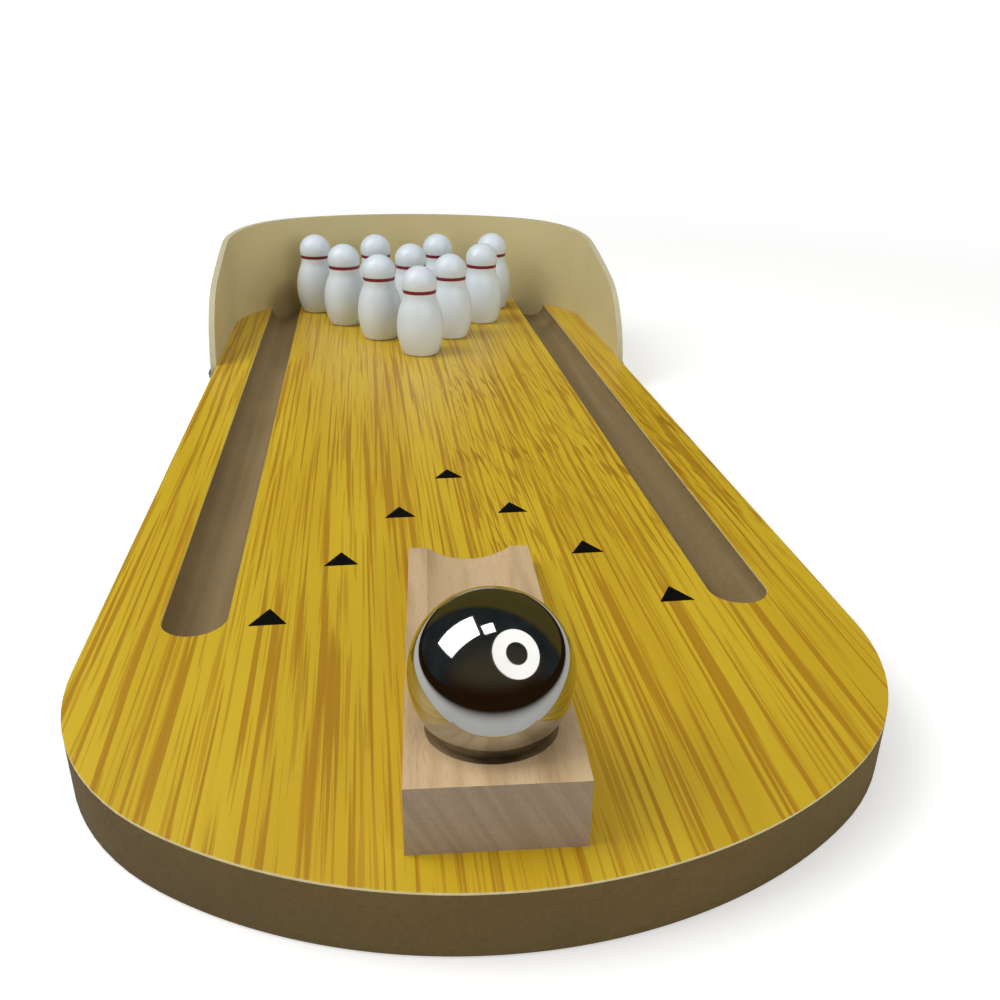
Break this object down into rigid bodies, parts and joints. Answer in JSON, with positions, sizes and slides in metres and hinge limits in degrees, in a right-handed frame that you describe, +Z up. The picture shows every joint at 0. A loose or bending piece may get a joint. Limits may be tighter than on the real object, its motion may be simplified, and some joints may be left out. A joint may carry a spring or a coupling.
{
  "type": "table bowling game",
  "caption": "Small table bowling lane: a grooved board with a bent back wall, a wooden ramp with a steel ball, and turned pins set in a triangle.",
  "frame": {"origin": "middle of the board's flat underside", "axes": "+Z up, +Y along the lane from the player towards the pins, +X to the player's right"},
  "size_m": [0.1208, 0.2816, 0.0386],
  "materials": {
    "fibreboard": "raw cut fibreboard",
    "printed_foil": "satin foil with a printed wood pattern",
    "black_print": "black print",
    "bent_strip": "smooth bare strip",
    "screw_steel": "zinc plated",
    "beech": "sanded bare beech",
    "polished_steel": "mirror polish",
    "pin_white": "satin white paint",
    "band_red": "dark red paint"
  },
  "bodies": {
    "lane": {"lane_board": "fibreboard", "lane_foil": "printed_foil", "aiming_arrows": "black_print", "back_wall": "bent_strip", "wall_screws": "screw_steel"},
    "ramp": {"ramp": "beech"},
    "ball": {"ball": "polished_steel"},
    "pin_1": {"pin_1": "pin_white", "pin_band_1": "band_red"},
    "pin_2": {"pin_2": "pin_white", "pin_band_2": "band_red"},
    "pin_3": {"pin_3": "pin_white", "pin_band_3": "band_red"},
    "pin_4": {"pin_4": "pin_white", "pin_band_4": "band_red"},
    "pin_5": {"pin_5": "pin_white", "pin_band_5": "band_red"},
    "pin_6": {"pin_6": "pin_white", "pin_band_6": "band_red"},
    "pin_7": {"pin_7": "pin_white", "pin_band_7": "band_red"},
    "pin_8": {"pin_8": "pin_white", "pin_band_8": "band_red"},
    "pin_9": {"pin_9": "pin_white", "pin_band_9": "band_red"},
    "pin_10": {"pin_10": "pin_white", "pin_band_10": "band_red"}
  },
  "joints": [
    {"name": "ramp_aim", "type": "slide", "parent": "lane", "child": "ramp", "axis": [1, 0, 0], "range_m": [-0.013, 0.017]},
    {"name": "ball_lift", "type": "slide", "parent": "ramp", "child": "ball", "axis": [0, 0, 1], "range_m": [0, 0.05]},
    {"name": "pin_1_lift", "type": "slide", "parent": "lane", "child": "pin_1", "axis": [0, 0, 1], "range_m": [0, 0.05]},
    {"name": "pin_2_lift", "type": "slide", "parent": "lane", "child": "pin_2", "axis": [0, 0, 1], "range_m": [0, 0.05]},
    {"name": "pin_3_lift", "type": "slide", "parent": "lane", "child": "pin_3", "axis": [0, 0, 1], "range_m": [0, 0.05]},
    {"name": "pin_4_lift", "type": "slide", "parent": "lane", "child": "pin_4", "axis": [0, 0, 1], "range_m": [0, 0.05]},
    {"name": "pin_5_lift", "type": "slide", "parent": "lane", "child": "pin_5", "axis": [0, 0, 1], "range_m": [0, 0.05]},
    {"name": "pin_6_lift", "type": "slide", "parent": "lane", "child": "pin_6", "axis": [0, 0, 1], "range_m": [0, 0.05]},
    {"name": "pin_7_lift", "type": "slide", "parent": "lane", "child": "pin_7", "axis": [0, 0, 1], "range_m": [0, 0.05]},
    {"name": "pin_8_lift", "type": "slide", "parent": "lane", "child": "pin_8", "axis": [0, 0, 1], "range_m": [0, 0.05]},
    {"name": "pin_9_lift", "type": "slide", "parent": "lane", "child": "pin_9", "axis": [0, 0, 1], "range_m": [0, 0.05]},
    {"name": "pin_10_lift", "type": "slide", "parent": "lane", "child": "pin_10", "axis": [0, 0, 1], "range_m": [0, 0.05]}
  ]
}
